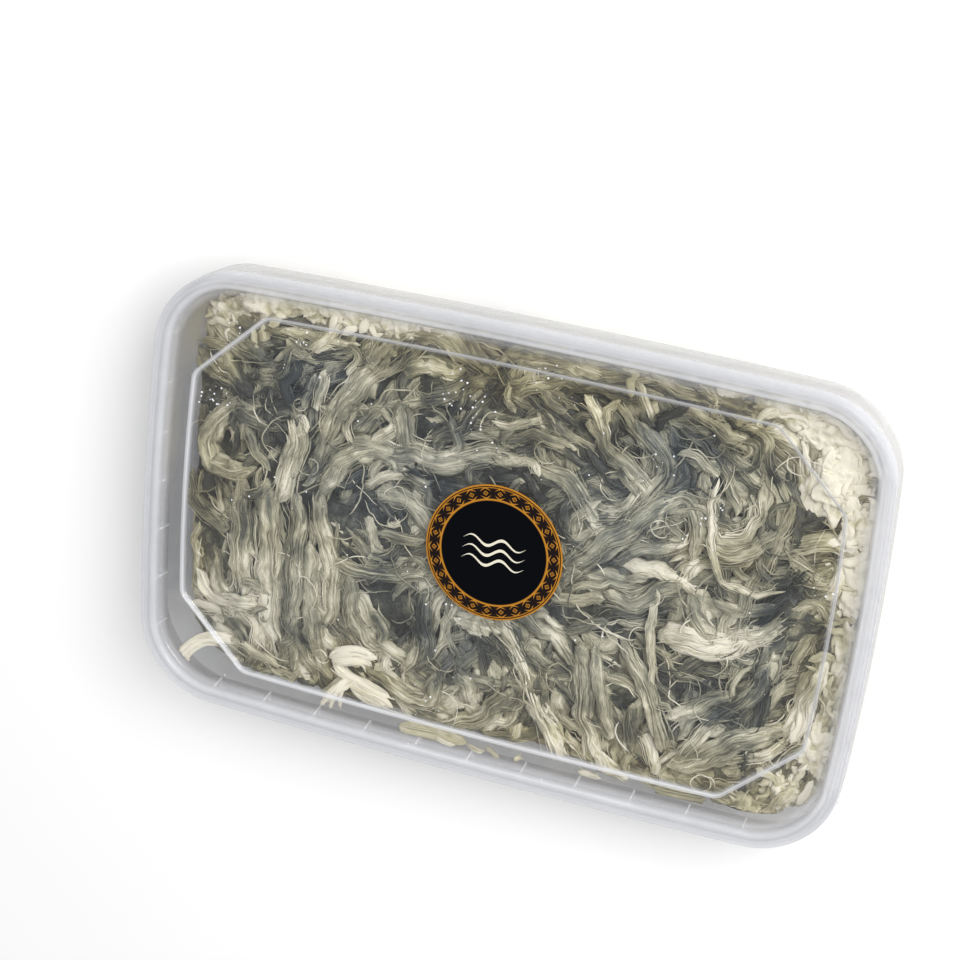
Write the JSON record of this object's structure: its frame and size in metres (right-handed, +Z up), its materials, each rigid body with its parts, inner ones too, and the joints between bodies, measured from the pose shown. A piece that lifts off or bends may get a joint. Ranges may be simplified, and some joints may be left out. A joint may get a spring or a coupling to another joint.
{
  "type": "shut clear tub of blue string cheese",
  "caption": "Shallow clear plastic food tub with its lid on, filled with a loose heap of blue string cheese, with a round label on the lid.",
  "frame": {"origin": "centre of the bounding box at the underside of the tub's base", "axes": "+X along the long side, +Y along the short side, +Z up through the lid"},
  "size_m": [0.2406, 0.1522, 0.04],
  "materials": {
    "clear_tub": "clear, slightly milky polypropylene",
    "clear_lid": "clear, slightly milky polypropylene",
    "label_print": "printed film, dark with an ochre ring",
    "string_cheese": "moist fibrous cheese, cream to grey-blue"
  },
  "bodies": {
    "root": {"tub": "clear_tub", "lid": "clear_lid", "label": "label_print", "cheese": "string_cheese"}
  },
  "joints": []
}
